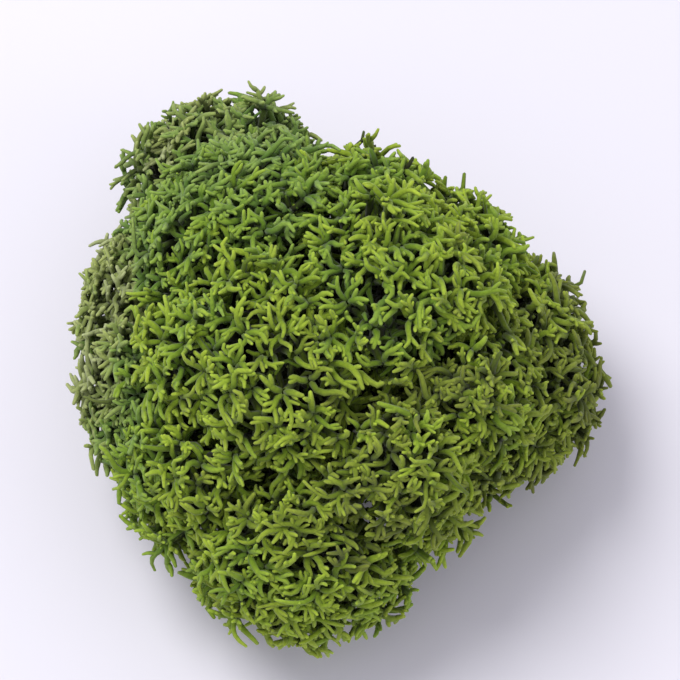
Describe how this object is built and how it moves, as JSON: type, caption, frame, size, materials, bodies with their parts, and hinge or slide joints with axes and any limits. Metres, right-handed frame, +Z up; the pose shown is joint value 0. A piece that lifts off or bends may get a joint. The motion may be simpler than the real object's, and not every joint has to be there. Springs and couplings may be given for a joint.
{
  "type": "reindeer moss clump",
  "caption": "Domed clump of reindeer moss: rounded crowns of fine forked twigs pressed together, each on a forked stalk cut flat at the ground.",
  "frame": {"origin": "on the ground under the middle of the clump's box", "axes": "+Z up, from the ground to the top of the dome; +Y from the front of the clump to its back, its longer side"},
  "size_m": [0.0716, 0.0794, 0.0484],
  "materials": {
    "twigs_yellow_green": "matte",
    "twigs_blue_green": "matte",
    "twigs_frosty": "matte",
    "twigs_olive": "matte",
    "stalks": "matte"
  },
  "bodies": {
    "root": {"crown_back_left": "twigs_blue_green", "crown_back": "twigs_yellow_green", "crown_back_right": "twigs_yellow_green", "crown_left": "twigs_frosty", "crown_middle_left": "twigs_blue_green", "crown_middle": "twigs_yellow_green", "crown_right": "twigs_olive", "crown_near_left": "twigs_frosty", "crown_near_middle": "twigs_yellow_green", "crown_near_right": "twigs_yellow_green", "crown_front_left": "twigs_yellow_green", "crown_front": "twigs_yellow_green", "crown_front_right": "twigs_olive", "stalk_back_left": "stalks", "stalk_back": "stalks", "stalk_back_right": "stalks", "stalk_left": "stalks", "stalk_middle_left": "stalks", "stalk_middle": "stalks", "stalk_right": "stalks", "stalk_near_left": "stalks", "stalk_near_middle": "stalks", "stalk_near_right": "stalks", "stalk_front_left": "stalks", "stalk_front": "stalks", "stalk_front_right": "stalks"}
  },
  "joints": []
}
